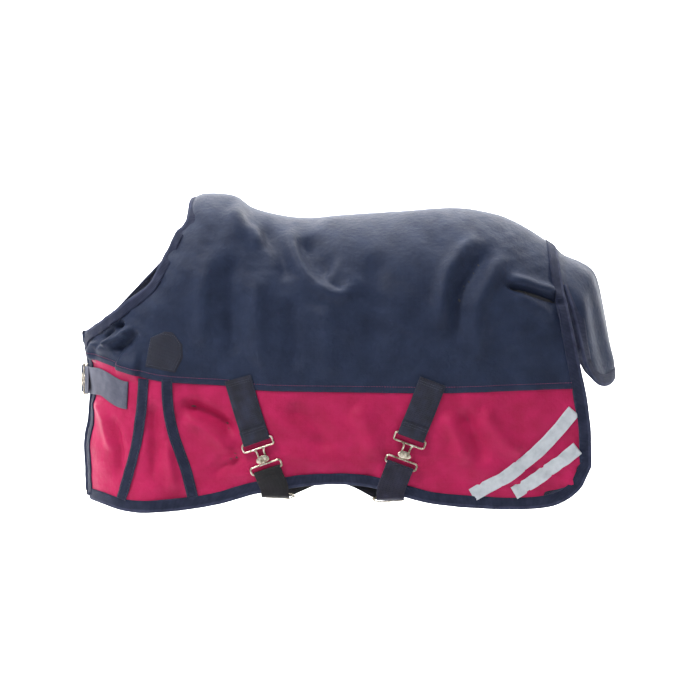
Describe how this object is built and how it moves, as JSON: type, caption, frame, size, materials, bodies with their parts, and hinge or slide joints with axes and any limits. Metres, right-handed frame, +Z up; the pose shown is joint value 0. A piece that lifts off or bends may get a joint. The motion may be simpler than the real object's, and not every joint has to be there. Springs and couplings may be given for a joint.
{
  "type": "horse turnout rug",
  "caption": "Pony turnout rug in its worn shape: padded two-colour cloth shell, shoulder gussets, cross surcingles with hook fasteners, chest fastening and tail flap.",
  "frame": {"origin": "middle of the back, where the rug rests on the pony", "axes": "-X towards the pony's head, -Y towards its near (left) side, +Z up"},
  "size_m": [0.9826, 0.3758, 0.5759],
  "materials": {
    "navy_cloth": "matt woven polyester",
    "pink_cloth": "matt woven polyester",
    "lining_cloth": "smooth nylon",
    "binding_tape": "matt woven tape",
    "webbing": "ribbed webbing",
    "chest_webbing": "ribbed webbing",
    "reflective_tape": "silver retroreflective",
    "fittings": "warm plated steel"
  },
  "bodies": {
    "rug": {"outer_shell": "navy_cloth", "left_chest_panel": "pink_cloth", "left_shoulder_gusset": "pink_cloth", "right_shoulder_gusset": "pink_cloth", "left_side_panel": "pink_cloth", "right_side_panel": "pink_cloth", "lining": "lining_cloth", "edge_binding": "binding_tape", "neck_binding": "binding_tape", "left_chest_binding": "binding_tape", "left_front_gusset_tape": "binding_tape", "left_rear_gusset_tape": "binding_tape", "right_rear_gusset_tape": "binding_tape", "left_shoulder_patch": "webbing", "right_shoulder_patch": "webbing", "left_upper_stripe": "reflective_tape", "left_lower_stripe": "reflective_tape", "right_upper_stripe": "reflective_tape", "right_lower_stripe": "reflective_tape", "front_upper_strap": "webbing", "front_belly_strap": "webbing", "rear_upper_strap": "webbing", "rear_belly_strap": "webbing", "left_chest_tab": "chest_webbing"},
    "right_chest_flap": {"right_chest_shell": "navy_cloth", "right_chest_panel": "pink_cloth", "right_chest_lining": "lining_cloth", "right_chest_neck_binding": "binding_tape", "right_chest_hem_binding": "binding_tape", "right_chest_binding": "binding_tape", "right_front_gusset_tape": "binding_tape", "right_chest_tab": "chest_webbing"},
    "tail_flap": {"tail_flap": "navy_cloth", "tail_flap_binding": "binding_tape"},
    "front_plate": {"front_plate": "fittings"},
    "front_hook": {"front_hook": "fittings"},
    "front_slide": {"front_slide": "fittings"},
    "rear_plate": {"rear_plate": "fittings"},
    "rear_hook": {"rear_hook": "fittings"},
    "rear_slide": {"rear_slide": "fittings"},
    "chest_plate": {"chest_plate": "fittings"},
    "chest_hook": {"chest_hook": "fittings"}
  },
  "joints": [
    {"name": "tail_flap_lift", "type": "hinge", "parent": "rug", "child": "tail_flap", "pos_m": [0.3965, 0, -0.056], "axis": [0, -1, 0], "range_deg": [0, 75]},
    {"name": "right_chest_flap_open", "type": "hinge", "parent": "rug", "child": "right_chest_flap", "pos_m": [-0.342, 0.16, -0.33], "axis": [0, 0, -1], "range_deg": [0, 65]},
    {"name": "front_hook_release", "type": "hinge", "parent": "rug", "child": "front_hook", "pos_m": [-0.1309, -0.17182, -0.45694], "axis": [0.9284, -0.1725, 0.329], "range_deg": [0, 110]},
    {"name": "front_plate_swing", "type": "hinge", "parent": "rug", "child": "front_plate", "pos_m": [-0.1507, -0.17453, -0.40249], "axis": [-0.9284, 0.1725, -0.329], "range_deg": [0, 30]},
    {"name": "rear_hook_release", "type": "hinge", "parent": "rug", "child": "rear_hook", "pos_m": [0.1079, -0.17618, -0.44862], "axis": [0.9358, 0.0733, -0.3447], "range_deg": [0, 110]},
    {"name": "rear_plate_swing", "type": "hinge", "parent": "rug", "child": "rear_plate", "pos_m": [0.1282, -0.1808, -0.39448], "axis": [-0.9358, -0.0733, 0.3447], "range_deg": [0, 30]},
    {"name": "chest_hook_release", "type": "hinge", "parent": "right_chest_flap", "child": "chest_hook", "pos_m": [-0.4721, 0.02871, -0.3], "axis": [0, 0, -1], "range_deg": [0, 110]},
    {"name": "chest_plate_swing", "type": "hinge", "parent": "rug", "child": "chest_plate", "pos_m": [-0.46295, -0.02856, -0.3], "axis": [0, 0, 1], "range_deg": [0, 30]},
    {"name": "front_slide_adjust", "type": "slide", "parent": "rug", "child": "front_slide", "axis": [0.6321, 0.749, 0.1985], "range_m": [0, 0.08]},
    {"name": "rear_slide_adjust", "type": "slide", "parent": "rug", "child": "rear_slide", "axis": [-0.5405, 0.8171, 0.2006], "range_m": [0, 0.08]}
  ],
  "couplings": [
    {"joint": "front_plate_swing", "follows": "front_hook_release", "ratio": 0.25},
    {"joint": "rear_plate_swing", "follows": "rear_hook_release", "ratio": 0.25},
    {"joint": "chest_plate_swing", "follows": "chest_hook_release", "ratio": 0.25}
  ]
}
